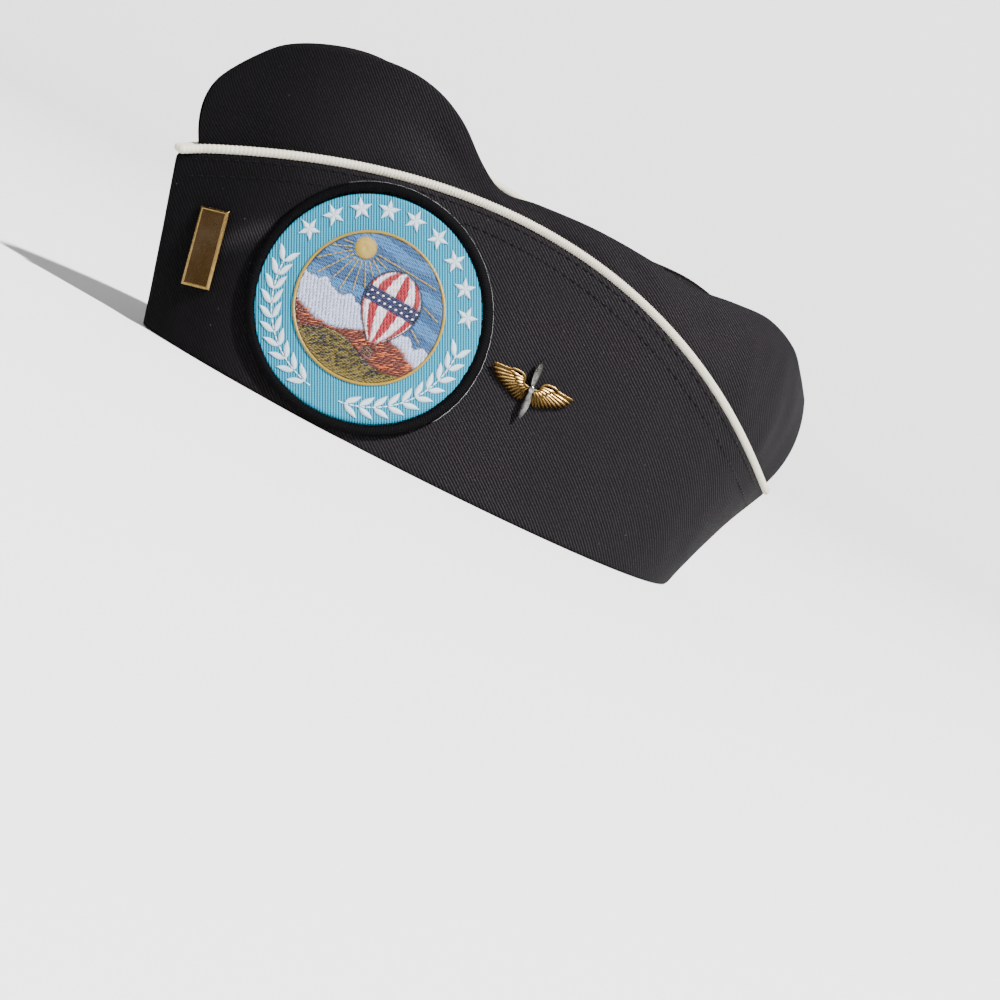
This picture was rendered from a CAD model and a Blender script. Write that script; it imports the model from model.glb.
# %% [markdown]
# # A garrison cap
#
# The cap stands on its own rim, spread open as a head spreads it. Two crown panels with a gusset between
# them rise out of a turned-up curtain. White piping edges the curtain, and a round patch, a rank bar and a
# winged propeller sit on the wearer's left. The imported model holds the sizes, and each of its solids is
# given its cloth, thread or metal here, piece by piece.

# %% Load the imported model
import math

import bpy
import numpy as np
from mathutils import Matrix, Vector


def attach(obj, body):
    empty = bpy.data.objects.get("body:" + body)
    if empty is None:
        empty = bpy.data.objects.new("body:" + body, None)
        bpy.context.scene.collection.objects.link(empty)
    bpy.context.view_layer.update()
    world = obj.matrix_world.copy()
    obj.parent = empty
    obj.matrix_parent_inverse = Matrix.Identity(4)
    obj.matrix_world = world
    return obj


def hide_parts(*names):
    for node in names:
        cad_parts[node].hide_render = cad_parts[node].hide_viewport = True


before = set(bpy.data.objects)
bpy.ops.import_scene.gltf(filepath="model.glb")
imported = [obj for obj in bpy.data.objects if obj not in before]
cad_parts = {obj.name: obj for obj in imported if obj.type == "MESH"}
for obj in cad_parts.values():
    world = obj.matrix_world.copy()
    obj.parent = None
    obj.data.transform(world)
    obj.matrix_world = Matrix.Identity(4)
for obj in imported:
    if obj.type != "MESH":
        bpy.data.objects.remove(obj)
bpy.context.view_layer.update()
print("nodes", sorted(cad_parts))

MM = 0.001
LEFT, RIGHT = -1, 1
chance = np.random.default_rng(7)

# %% [markdown]
# ## A grid that takes any shape
#
# Cloth, cord and wrapped thread are all made here from one thing: a flat grid primitive whose vertices are
# moved to where a formula puts them, as sculpting would move them but exactly. The grid is square at first,
# so each vertex has a share across (u) and a share up (v), both from 0 to 1. Its UV map is then rewritten in
# metres of cloth, which lets a weave keep its true scale however the cloth bends.

# %% Grid helpers
def link(item):
    bpy.context.scene.collection.objects.link(item)


def select_only(piece):
    bpy.ops.object.select_all(action="DESELECT")
    piece.select_set(True)
    bpy.context.view_layer.objects.active = piece


def edit(piece, *steps):
    """Runs edit mode operators, with all of the piece selected before each."""
    select_only(piece)
    bpy.ops.object.mode_set(mode="EDIT")
    for step in steps:
        bpy.ops.mesh.select_all(action="SELECT")
        step()
    bpy.ops.object.mode_set(mode="OBJECT")


def merge_seams():
    bpy.ops.mesh.remove_doubles(threshold=0.01 * MM)


def points_of(piece):
    flat = np.empty(len(piece.data.vertices) * 3)
    piece.data.vertices.foreach_get("co", flat)
    return flat.reshape(-1, 3)


def move_points(piece, points):
    piece.data.vertices.foreach_set("co", np.ascontiguousarray(points).ravel())
    piece.data.update()


def shaped_grid(name, columns, rows, place, cloth=None):
    """A grid whose vertices lie at place(u, v) and whose UV map is cloth(u, v), both in millimetres."""
    bpy.ops.object.select_all(action="DESELECT")
    bpy.ops.mesh.primitive_grid_add(x_subdivisions=columns, y_subdivisions=rows, size=1)
    piece = bpy.context.object
    piece.name = piece.data.name = name
    share = points_of(piece)[:, :2] + 0.5
    u, v = share[:, 0], share[:, 1]
    move_points(piece, place(u, v) * MM)
    if cloth:
        mesh = piece.data
        corner = np.empty(len(mesh.loops), dtype=np.int32)
        mesh.loops.foreach_get("vertex_index", corner)
        mesh.uv_layers.active.data.foreach_set("uv", (cloth(u, v) * MM)[corner].ravel())
    return piece


def give_value(piece, name, values):
    """Stores one number for each vertex, for a material to read."""
    piece.data.attributes.new(name, "FLOAT", "POINT").data.foreach_set("value", values)


def apply_modifiers(piece):
    select_only(piece)
    for modifier in list(piece.modifiers):
        bpy.ops.object.modifier_apply(modifier=modifier.name)


def smooth(piece):
    select_only(piece)
    bpy.ops.object.shade_smooth()


def face_out(piece):
    """Closes a shell's seams, points its faces outwards and shades it smooth."""
    edit(piece, merge_seams, bpy.ops.mesh.normals_make_consistent)
    smooth(piece)


def soften(piece):
    """Waits as one level of subdivision until the piece's modifiers are applied."""
    soft = piece.modifiers.new("soft", "SUBSURF")
    soft.levels = soft.render_levels = 1


def copy_of(piece):
    """A copy with its own mesh."""
    copy = piece.copy()
    copy.data = piece.data.copy()
    link(copy)
    return copy


def finish_piece(piece, material, slot, *nodes):
    """Gives the piece its material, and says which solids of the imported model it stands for."""
    piece.data.materials.clear()
    piece.data.materials.append(material)
    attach(piece, "root")
    if nodes:
        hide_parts(*nodes)
    print(piece.name, len(piece.data.polygons), "faces")


# %% [markdown]
# ## Camera, floor and light
#
# The camera comes first, so that every piece can be looked at as it is made. It looks at the wearer's left
# side from a little in front, and the picture is turned so that the cap leans to the right. The floor
# curves up into a low wall all round, so no horizon shows from any side, and the sky above it stays open.
# A small far lamp high up on the badges' side is the sun, and a pale sky fills the shadows.

# %% Camera
EYE = Vector((-401.6, -878.3, 80.7)) * MM
AIM = Vector((33.2, 0.0, -0.7)) * MM
ROLL = math.radians(28.0)
LENS = 105.1

camera = bpy.data.objects.new("camera", bpy.data.cameras.new("camera"))
link(camera)
camera.data.lens = LENS
camera.data.sensor_width = 36.0
camera.location = EYE
camera.rotation_mode = "QUATERNION"
turned = Matrix.Rotation(ROLL, 3, "Z").to_quaternion()
camera.rotation_quaternion = (AIM - EYE).to_track_quat("-Z", "Y") @ turned
bpy.context.scene.camera = camera

# %% Floor
FLOOR_FLAT = 1500.0
FLOOR_CURVE = 1100.0
FLOOR_WALL = 300.0
FLOOR_COLOUR = (0.6, 0.6, 0.597, 1)


def floor_point(u, v):
    """A disc out to FLOOR_FLAT, a quarter turn up and then a wall, along v."""
    angle = 2 * math.pi * u
    turn = np.clip(2 * v - 0.5, 0, 1) * math.pi / 2
    reach = FLOOR_FLAT * np.clip(4 * v, 0, 1) + FLOOR_CURVE * np.sin(turn)
    height = FLOOR_CURVE * (1 - np.cos(turn)) + FLOOR_WALL * np.clip(4 * v - 3, 0, 1)
    return np.stack([reach * np.cos(angle), reach * np.sin(angle), height], axis=1)


floor = shaped_grid("floor", 96, 48, floor_point)
edit(floor, merge_seams)
smooth(floor)
paper = bpy.data.materials.new("pale_paper")
paper.use_nodes = True
matte = paper.node_tree.nodes["Principled BSDF"].inputs
matte["Base Color"].default_value = FLOOR_COLOUR
matte["Roughness"].default_value = 0.95
floor.data.materials.append(paper)

# %% Lamp and sky
CAP_MIDDLE = Vector((0.0, 0.0, 50.0)) * MM
LAMP = {"toward": (0.23, -0.5, 0.83), "distance": 4.6, "size": 0.28, "watts": 1200}
SKY_LIGHT = {"Color": (0.95, 0.97, 1.0, 1), "Strength": 0.16}

lamp = bpy.data.lights.new("key_lamp", "AREA")
lamp.shape = "DISK"
lamp.size = LAMP["size"]
lamp.energy = LAMP["watts"]
light = bpy.data.objects.new("key_lamp", lamp)
link(light)
toward = Vector(LAMP["toward"]).normalized()
light.location = CAP_MIDDLE + toward * LAMP["distance"]
light.rotation_euler = toward.to_track_quat("Z", "Y").to_euler()

sky = bpy.data.worlds.new("sky")
bpy.context.scene.world = sky
sky.use_nodes = True
for key, value in SKY_LIGHT.items():
    sky.node_tree.nodes["Background"].inputs[key].default_value = value

# %% [markdown]
# ## The form of the cap
#
# A garrison cap is flat when it is folded and takes a boat's shape when it is opened. The rim and the
# curtain's top edge are two cubic curves from crease to crease, and the curtain is ruled between them.
# The crown starts inside the rim, follows the curtain up, and goes on above it to its fold. The same named
# sizes as in the model's own source give the same surfaces here.

# %% Sizes, in millimetres
MIDDLE = 2.9
RIM = {"front": -104, "rear": 104, "front_angle": 70, "rear_angle": 78, "front_reach": 92, "rear_reach": 90}
BROW = {"front": -121.5, "rear": 127.3, "front_angle": 18, "rear_angle": 55,
        "front_reach": 141, "rear_reach": 111}
FLAT = (0, 0, 0, 0)
BROW_HEIGHTS = {LEFT: (56, 128, 52, 44), RIGHT: (56, 133, 73, 44)}

CURTAIN = 1.6
PANEL = 1.2
CLEAR = 0.15
CROWN_START = 0.012
RIM_GAP = 0.5
BROW_GAP = 2.4
CREASE_SHARE = 0.06
CROWN_FULLNESS = 0.57
CROWN_NECK = 0.93
CROWN_HANDLE = 0.1
CROWN_LEAN = 0.6
CROWN_SWELL = 11.5
CURTAIN_SHARE = 0.5
CORD = 1.5

FOLD_COLUMNS = ("at", "x", "half", "z", "valley", "dip")
FOLD = np.array([
    (0.0, -116.9, 0, 84.5, 5, 0),
    (0.012, -111.2, 0.7, 92.4, 8, 0),
    (0.03, -103.8, 2, 99.7, 12, 0),
    (0.07, -87, 6.5, 107, 19, 0),
    (0.117, -70, 12, 110.3, 23, 0),
    (0.155, -57.3, 16.5, 108.8, 24, 0),
    (0.187, -46.8, 20.5, 103.6, 22, 0.5),
    (0.217, -38, 24.5, 96, 17, 2),
    (0.25, -28.6, 28.5, 90.6, 14, 4),
    (0.292, -18, 32.5, 92.2, 13, 5),
    (0.37, 2, 38.2, 94, 12, 4),
    (0.465, 24, 41.5, 93.6, 12, 1.5),
    (0.543, 40, 40.5, 92.3, 13, 0.5),
    (0.648, 60, 36.5, 94.6, 16, 0),
    (0.746, 77.8, 30.5, 95.4, 19, 0),
    (0.843, 95.3, 23, 91, 20, 0),
    (0.921, 108.5, 13.5, 84, 16, 0),
    (1.0, 122, 0, 77.5, 5, 0),
])

DENTS = (
    {"at": 0.17, "up": 0.78, "length": 0.035, "height": 0.13, "depth": 1.6},
    {"at": 0.6, "up": 0.8, "length": 0.05, "height": 0.12, "depth": 1.2},
)


# %% Curves and surfaces
def bezier(corners, t):
    """Points on the cubic curve of four corners, one for each t."""
    t = t[:, None]
    a, b, c, d = (np.asarray(corner, dtype=float) for corner in corners)
    return (1 - t) ** 3 * a + 3 * (1 - t) ** 2 * t * b + 3 * (1 - t) * t**2 * c + t**3 * d


def guide_curve(plan, heights, side):
    front, rear = math.radians(plan["front_angle"]), math.radians(plan["rear_angle"])
    start, end = plan["front"] - MIDDLE, plan["rear"] - MIDDLE
    ahead, behind = plan["front_reach"], plan["rear_reach"]
    return (
        (start, 0, heights[0]),
        (start + ahead * math.cos(front), side * ahead * math.sin(front), heights[1]),
        (end - behind * math.cos(rear), side * behind * math.sin(rear), heights[2]),
        (end, 0, heights[3]),
    )


def curtain_surface(side):
    rim = guide_curve(RIM, FLAT, side)
    brow = guide_curve(BROW, BROW_HEIGHTS[side], side)

    def surface(at, up):
        low, high = bezier(rim, at), bezier(brow, at)
        return low + (high - low) * up[:, None]

    return surface


def unit(vectors):
    return vectors / np.linalg.norm(vectors, axis=1)[:, None]


STEP = 1e-4


def along_of(surface, at, up):
    start = np.clip(at - STEP, 0, 1 - 2 * STEP)
    return surface(start + 2 * STEP, up) - surface(start, up)


def upward_of(surface, at, up):
    low = np.clip(up - STEP, 0, 1 - 2 * STEP)
    return surface(at, low + 2 * STEP) - surface(at, low)


def outward_of(surface, side, at, up):
    return unit(np.cross(along_of(surface, at, up), upward_of(surface, at, up)) * -side)


def pushed_in(surface, side, depth_at):
    """The surface moved inwards, level with itself, so that its heights stay."""
    def pushed(at, up):
        along = along_of(surface, at, up)
        level = np.stack([-side * along[:, 1], side * along[:, 0], np.zeros(len(at))], axis=1)
        return surface(at, up) - unit(level) * depth_at(at, up)[:, None]

    return pushed


def thinned(surface, side, depth):
    """The surface moved inwards, square to itself."""
    return lambda at, up: surface(at, up) - outward_of(surface, side, at, up) * depth


def creased(surface, side):
    """The surface with its rows cut off where they come within CLEAR of the middle plane."""
    ends = {}

    def crease(up, shut):
        wide, shut = np.full(len(up), 0.5), np.full(len(up), float(shut))
        for _ in range(24):
            middle = (wide + shut) / 2
            clear = side * surface(middle, up)[:, 1] > CLEAR
            wide, shut = np.where(clear, middle, wide), np.where(clear, shut, middle)
        return wide

    def cut(at, up):
        rows, which = np.unique(up, return_inverse=True)
        new = np.array([row for row in rows if row not in ends])
        if len(new):
            for row, front, rear in zip(new, crease(new, 0), crease(new, 1)):
                ends[row] = (front, rear)
        front, rear = np.array([ends[row] for row in rows]).T[:, which]
        return surface(front + (rear - front) * at, up)

    return cut


def fold_value(column, at):
    """A column of the fold table, as a smooth curve through its rows."""
    places, values = FOLD[:, 0], FOLD[:, FOLD_COLUMNS.index(column)]
    rows = np.arange(len(FOLD))
    before, after = np.maximum(rows - 1, 0), np.minimum(rows + 1, len(FOLD) - 1)
    slopes = (values[after] - values[before]) / (places[after] - places[before])
    row = np.clip(np.searchsorted(places, at, side="right") - 1, 0, len(FOLD) - 2)
    span = places[row + 1] - places[row]
    s = (at - places[row]) / span
    rise = values[row + 1] - values[row]
    start, end = slopes[row] * span, slopes[row + 1] * span
    return values[row] + s * (start + s * (3 * rise - 2 * start - end + s * (start + end - 2 * rise)))


def dent_depth(at, up):
    depth = np.zeros(len(at))
    for dent in DENTS:
        along, rise = (at - dent["at"]) / dent["length"], (up - dent["up"]) / dent["height"]
        depth += dent["depth"] * np.exp(-along * along - rise * rise)
    return depth


def openness(at):
    away = np.minimum(at * (1 - at) / CREASE_SHARE, 1)
    return away * away * (3 - 2 * away)


def crown_surface(side):
    """The crown's outer face: straight behind the curtain, then rounded in to the fold."""
    def depth_at(at, up):
        return CURTAIN + RIM_GAP + (BROW_GAP - RIM_GAP) * up * openness(at)

    behind = creased(pushed_in(curtain_surface(side), side, depth_at), side)

    def surface(at, up):
        climb = np.minimum(up / CURTAIN_SHARE, 1)
        low = behind(at, CROWN_START + (CROWN_NECK - CROWN_START) * climb)
        neck = behind(at, np.full(len(at), CROWN_NECK))
        half = np.maximum(fold_value("half", at), CLEAR)
        height = fold_value("z", at) - (fold_value("dip", at) if side == RIGHT else 0)
        top = np.stack([fold_value("x", at) - MIDDLE, side * half, height], axis=1)
        handle = neck - behind(at, np.full(len(at), CROWN_NECK - CROWN_HANDLE))
        handle[:, 1] *= CROWN_LEAN
        handle = neck + unit(handle) * (CROWN_FULLNESS * (top - neck)[:, 2])[:, None]
        handle[:, 0] -= np.where(at < 0.5, CROWN_SWELL * (1 - openness(at)), 0)
        share = np.clip((up - CURTAIN_SHARE) / (1 - CURTAIN_SHARE), 0, 1)[:, None]
        arch = (1 - share) ** 2 * neck + 2 * (1 - share) * share * handle + share**2 * top
        arch[:, 1] = side * np.maximum(side * arch[:, 1] - dent_depth(at, up), CLEAR)
        return np.where((up <= CURTAIN_SHARE)[:, None], low, arch)

    return surface


# %% [markdown]
# ## Effects that materials share
#
# Four effects are used by more than one material, so each is a node group with its own inputs. "weave"
# draws the diagonal ridges of twill from a UV map in metres, with the fainter threads that cross them.
# "lint" gives the pale specks and fibres that dark wool collects. "twist" draws the fine plies along a
# sewing thread. "wear" finds the patchy tarnish and small scratches of handled metal.

# %% Node helpers
def add_node(tree, kind, values=None, **settings):
    """A node with settings on itself, and values or links on its inputs by name or number."""
    node = tree.nodes.new(kind)
    for key, value in settings.items():
        setattr(node, key, value)
    for key, value in (values or {}).items():
        if isinstance(value, bpy.types.NodeSocket):
            tree.links.new(value, node.inputs[key])
        else:
            node.inputs[key].default_value = value
    return node


def math_node(tree, operation, *values):
    return add_node(tree, "ShaderNodeMath", dict(enumerate(values)), operation=operation).outputs[0]


def times(tree, first, second):
    return math_node(tree, "MULTIPLY", first, second)


def wave(tree, turns):
    """A sine that comes round once for each whole turn."""
    return math_node(tree, "SINE", times(tree, turns, 2 * math.pi))


def noise(tree, vector, scale, detail, roughness=0.5):
    return add_node(tree, "ShaderNodeTexNoise", {
        "Vector": vector, "Scale": scale, "Detail": detail, "Roughness": roughness}).outputs[0]


def separate(tree, vector):
    return add_node(tree, "ShaderNodeSeparateXYZ", {0: vector}).outputs


def own_value(tree, name):
    """A number that the piece's vertices carry, and 0 on a piece without it."""
    return add_node(tree, "ShaderNodeAttribute", attribute_name=name).outputs["Fac"]


def mix_color(tree, share, first, second, blend="MIX"):
    first, second = ((*tone, 1) if isinstance(tone, tuple) else tone for tone in (first, second))
    return add_node(tree, "ShaderNodeMix", {0: share, 6: first, 7: second},
                    data_type="RGBA", blend_type=blend).outputs[2]


def ramp(tree, value, *stops):
    """A grey ramp through two (place, brightness) stops."""
    node = add_node(tree, "ShaderNodeValToRGB", {0: value})
    for element, (place, grey) in zip(node.color_ramp.elements, stops):
        element.position = place
        element.color = (grey, grey, grey, 1)
    return node.outputs[0]


def new_group(name, inputs, outputs):
    """A group that takes a vector and the named numbers, and puts out the named numbers."""
    tree = bpy.data.node_groups.new(name, "ShaderNodeTree")
    tree.interface.new_socket("Vector", in_out="INPUT", socket_type="NodeSocketVector")
    for way, labels in (("INPUT", inputs), ("OUTPUT", outputs)):
        for label in labels:
            tree.interface.new_socket(label, in_out=way, socket_type="NodeSocketFloat")
    return tree, tree.nodes.new("NodeGroupInput").outputs, tree.nodes.new("NodeGroupOutput").inputs


# %% Weave group
def weave_group():
    """Twill: ridges at an angle, crossed by finer threads. The vector is a UV map in metres."""
    tree, given, out = new_group("weave", ("Pitch", "Angle"), ("Height", "Ridge"))
    turned = add_node(tree, "ShaderNodeVectorRotate", {"Vector": given["Vector"], "Angle": given["Angle"]},
                      rotation_type="Z_AXIS").outputs[0]
    wander = noise(tree, turned, 160.0, 2.0)
    split = separate(tree, turned)
    count = math_node(tree, "DIVIDE", split[1], given["Pitch"])
    count = math_node(tree, "ADD", count, times(tree, wander, 0.4))
    ridge = wave(tree, count)
    crossing = math_node(tree, "DIVIDE", split[0], times(tree, given["Pitch"], 0.6))
    thread = wave(tree, math_node(tree, "ADD", crossing, times(tree, count, 0.5)))
    both = math_node(tree, "ADD", ridge, times(tree, thread, 0.6))
    tree.links.new(math_node(tree, "MULTIPLY_ADD", both, 0.31, 0.5), out["Height"])
    tree.links.new(math_node(tree, "MULTIPLY_ADD", ridge, 0.5, 0.5), out["Ridge"])
    return tree


# %% Lint group
def lint_group():
    """Pale specks, scattered over the cloth and denser in patches."""
    tree, given, out = new_group("lint", ("Scale", "Amount"), ("Mask", "Patch"))
    speck = add_node(tree, "ShaderNodeTexVoronoi", {"Vector": given["Vector"], "Scale": given["Scale"]})
    near = ramp(tree, speck.outputs["Distance"], (0.0, 1.0), (0.09, 0.0))
    pick = ramp(tree, separate(tree, speck.outputs["Color"])[0], (0.86, 0.0), (0.9, 1.0))
    patch = ramp(tree, noise(tree, given["Vector"], 22.0, 4.0, 0.6), (0.38, 0.0), (0.68, 1.0))
    mask = times(tree, times(tree, near, pick), math_node(tree, "MULTIPLY_ADD", patch, 0.8, 0.2))
    tree.links.new(times(tree, mask, given["Amount"]), out["Mask"])
    tree.links.new(patch, out["Patch"])
    return tree


# %% Twist group
def twist_group():
    """The slanted plies of a twisted thread, from a UV map whose U runs along it in metres."""
    tree, given, out = new_group("twist", ("Pitch",), ("Height",))
    split = separate(tree, given["Vector"])
    slant = math_node(tree, "ADD", math_node(tree, "DIVIDE", split[0], given["Pitch"]), split[1])
    tree.links.new(math_node(tree, "MULTIPLY_ADD", wave(tree, slant), 0.5, 0.5), out["Height"])
    return tree


# %% Wear group
def wear_group():
    """Patchy tarnish and fine scratches on metal that is handled."""
    tree, given, out = new_group("wear", ("Scale",), ("Tarnish", "Scratch"))
    cloud = noise(tree, given["Vector"], given["Scale"], 5.0, 0.65)
    tree.links.new(ramp(tree, cloud, (0.36, 0.0), (0.7, 1.0)), out["Tarnish"])
    stretched = add_node(tree, "ShaderNodeMapping", {
        0: given["Vector"], "Rotation": (0.4, 0.2, 0.9), "Scale": (1.0, 9.0, 1.0)}).outputs[0]
    line = noise(tree, stretched, times(tree, given["Scale"], 3.0), 2.0)
    tree.links.new(ramp(tree, line, (0.55, 0.0), (0.62, 1.0)), out["Scratch"])
    return tree


WEAVE, LINT, TWIST, WEAR = weave_group(), lint_group(), twist_group(), wear_group()


# %% Material helpers
def use_group(tree, group, **values):
    return add_node(tree, "ShaderNodeGroup", values, node_tree=group).outputs


def new_material(name, **constants):
    """A material whose shader has the constants, with its tree, a way to link inputs, UV and place."""
    material = bpy.data.materials.new(name)
    material.use_nodes = True
    tree = material.node_tree
    shader = tree.nodes["Principled BSDF"]
    for key, value in constants.items():
        shader.inputs[key.replace("_", " ").title().replace("Ior", "IOR")].default_value = value

    def feed(key, socket):
        tree.links.new(socket, shader.inputs[key])

    where = add_node(tree, "ShaderNodeTexCoord").outputs
    return material, tree, feed, where["UV"], where["Object"]


def bump(tree, height, depth, strength=1.0):
    return add_node(tree, "ShaderNodeBump",
                    {"Height": height, "Distance": depth * MM, "Strength": strength}).outputs[0]


# %% [markdown]
# ## Black twill
#
# The cap's cloth is a smooth black worsted twill. Its fine ridges run down towards the rear and catch the
# light as grey lines, while the grooves between them stay black. A plain noise would look like felt, so the
# ridges come from the weave group on each panel's own UV map. Handling has rubbed the ridges grey, except
# near the front crease, where the cloth has kept its black. A few specks of lint and slow paler patches keep
# it from looking like plastic.

# %% Twill material
WALE = 0.84
BLACK_FRONT = {"from": -108.0, "to": -52.0, "least": 0.24}


def twill_material(name, angle):
    """Black twill whose ridges run down at an angle. "worn" on a piece greys it in one place."""
    material, tree, feed, uv, place = new_material(name, roughness=0.75, specular_ior_level=0.03)
    weave = use_group(tree, WEAVE, Vector=uv, Pitch=WALE * MM, Angle=math.radians(angle))
    lint = use_group(tree, LINT, Vector=place, Scale=330.0, Amount=0.45)
    fuzz = noise(tree, uv, 1500.0, 3.0)
    raised = times(tree, weave["Height"], math_node(tree, "MULTIPLY_ADD", fuzz, 1.4, 0.3))
    rubbed = add_node(tree, "ShaderNodeMapRange", {
        "Value": separate(tree, place)["X"], "To Min": BLACK_FRONT["least"], "To Max": 1.0,
        "From Min": BLACK_FRONT["from"] * MM, "From Max": BLACK_FRONT["to"] * MM,
    }, interpolation_type="SMOOTHSTEP").outputs[0]
    rubbed = math_node(tree, "ADD", rubbed, own_value(tree, "worn"))
    raised = times(tree, math_node(tree, "POWER", raised, 1.9), rubbed)
    ground = mix_color(tree, raised, (0.0002, 0.0002, 0.0003), (0.019, 0.0165, 0.0188))
    ground = mix_color(tree, times(tree, lint["Patch"], 0.25), ground, (0.0036, 0.0032, 0.0037))
    feed("Base Color", mix_color(tree, lint["Mask"], ground, (0.16, 0.15, 0.15)))
    feed("Normal", bump(tree, weave["Height"], 0.16, 0.8))
    return material


left_twill = twill_material("black_twill_left", 34)
right_twill = twill_material("black_twill_right", -34)
top_twill = twill_material("black_twill_top", 45)

# %% [markdown]
# ## Cloth from a surface
#
# Each panel is one grid laid on its surface. Solidify gives it the cloth's thickness inwards, and one level
# of subdivision rounds the cut edges as a pressed fold is round. Beside the creases the inner face would
# pass through the middle plane, so its points are held back from it. Worn cloth is never quite even, so a
# slow wave a few tenths of a millimetre deep runs over each panel.

# %% Cloth helpers
def cloth_lengths(surface, columns=161, rows=41):
    """A function from (at, up) to how far that place lies along and up the cloth, in millimetres."""
    at, up = np.meshgrid(np.linspace(0, 1, columns), np.linspace(0, 1, rows))
    points = surface(at.ravel(), up.ravel()).reshape(rows, columns, 3)
    steps = np.linalg.norm(np.diff(points, axis=1), axis=2)
    along = np.concatenate([np.zeros((rows, 1)), np.cumsum(steps, axis=1)], axis=1)
    along -= along[:, [columns // 2]]
    rises = np.linalg.norm(np.diff(points, axis=0), axis=2)
    climb = np.concatenate([np.zeros((1, columns)), np.cumsum(rises, axis=0)], axis=0)

    def lengths(at, up):
        i, j = at * (columns - 1), up * (rows - 1)
        i0, j0 = np.minimum(i.astype(int), columns - 2), np.minimum(j.astype(int), rows - 2)
        s, t = i - i0, j - j0
        both = []
        for table in (along, climb):
            low = table[j0, i0] * (1 - s) + table[j0, i0 + 1] * s
            high = table[j0 + 1, i0] * (1 - s) + table[j0 + 1, i0 + 1] * s
            both.append(low * (1 - t) + high * t)
        return np.stack(both, axis=1)

    return lengths


# How many waves there are along and up each panel.
WAVES = ((9, 1), (5, -2), (14, 2), (7, 3), (19, -1), (3, 4))


def uneven(surface, side, depth, seed):
    """The surface with slow waves in it, which die away at its edges."""
    phase = np.random.default_rng(seed).uniform(0, 2 * math.pi, len(WAVES))

    def waved(at, up):
        height = np.zeros(len(at))
        for index, (across, rise) in enumerate(WAVES):
            height += np.sin(2 * math.pi * (across * at + rise * up) + phase[index]) / (1.6 + index)
        for share, steepness in ((at, 8), (1 - at, 8), (up, 6), (1 - up, 6)):
            height *= np.clip(steepness * share, 0, 1)
        return surface(at, up) + outward_of(surface, side, at, up) * (depth * height)[:, None]

    return waved


def cloth_panel(name, surface, side, thickness, columns, rows):
    """A closed panel of cloth on a surface, with its outer face on it."""
    lengths = cloth_lengths(surface)
    forward = (lambda u: u) if side == LEFT else (lambda u: 1 - u)
    piece = shaped_grid(
        name, columns, rows,
        lambda u, v: surface(forward(u), v),
        lambda u, v: lengths(forward(u), v),
    )
    solid = piece.modifiers.new("thickness", "SOLIDIFY")
    solid.thickness = thickness * MM
    solid.offset = -1
    soften(piece)
    apply_modifiers(piece)
    smooth(piece)
    return piece


def hold_beside_middle(piece, side):
    """Moves points that have crossed the middle plane back to their own side of it."""
    points = points_of(piece)
    points[:, 1] = side * np.maximum(side * points[:, 1], CLEAR * MM)
    move_points(piece, points)


# %% [markdown]
# ## Curtain
#
# The curtain's two halves end just under the piping. Between the rank bar and the patch the cloth stands up
# in one soft ridge, and there it is worn grey.

# %% Curtain
RIDGE = {"start": (0.062, 0.51), "end": (0.105, 0.68), "width": 1.6, "height": 1.1, "worn": 1.4,
         "spread": 1.7}
CURTAIN_GRID = (130, 28)
CURTAIN_WAVES = 0.12
HEM_TUCK = 0.2


def hem_of(surface, at):
    """How far up the curtain its cloth ends, just under the piping."""
    slant = np.linalg.norm(surface(at, np.ones(len(at))) - surface(at, np.zeros(len(at))), axis=1)
    return 1 - (2 * CORD - HEM_TUCK) / slant


def ridge_share(points, width):
    """How much points, in millimetres, belong to the soft ridge: 1 on its line and 0 well away from it."""
    surface = curtain_surface(LEFT)
    start, end = (surface(np.array([p[0]]), np.array([p[1]]))[0] for p in (RIDGE["start"], RIDGE["end"]))
    along = end - start
    away = points - start
    share = np.clip(away @ along / (along @ along), 0, 1)
    off = np.linalg.norm(away - share[:, None] * along, axis=1) / width
    return np.exp(-off * off) * np.sin(math.pi * np.clip(0.15 + 0.85 * share, 0, 1))


def hemmed_curtain(side):
    surface = curtain_surface(side)

    def hemmed(at, up):
        up = up * hem_of(surface, at)
        point = surface(at, up)
        if side == RIGHT:
            return point
        height = RIDGE["height"] * ridge_share(point, RIDGE["width"])
        return point + outward_of(surface, side, at, up) * height[:, None]

    return creased(hemmed, side)


HALVES = ((LEFT, "left", left_twill), (RIGHT, "right", right_twill))

for side, word, twill in HALVES:
    surface = uneven(hemmed_curtain(side), side, CURTAIN_WAVES, 3 + side)
    curtain = cloth_panel(f"{word}_curtain", surface, side, CURTAIN, *CURTAIN_GRID)
    hold_beside_middle(curtain, side)
    if side == LEFT:
        worn = ridge_share(points_of(curtain) / MM, RIDGE["spread"] * RIDGE["width"])
        give_value(curtain, "worn", RIDGE["worn"] * worn)
    finish_piece(curtain, twill, "cloth", f"curtain_{word}")

# %% [markdown]
# ## Crown and gusset
#
# The crown panels are the same cloth. Above the curtain they are free, so their waves are deeper. The
# gusset is the strip that lets the crown open: it hangs between the two folds and sinks in a valley.

# %% Crown
CROWN_GRID = (120, 48)
CROWN_WAVES = 0.3

for side, word, twill in HALVES:
    surface = uneven(crown_surface(side), side, CROWN_WAVES, 11 + side)
    crown = cloth_panel(f"{word}_crown", surface, side, PANEL, *CROWN_GRID)
    hold_beside_middle(crown, side)
    finish_piece(crown, twill, "cloth", f"crown_{word}")

# %% Gusset
GUSSET_GRID = (100, 36)
GUSSET_GAP = 0.1
GUSSET_FRONT = 0.015
GUSSET_REAR = 0.985
WIDEST = 42.0


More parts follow.
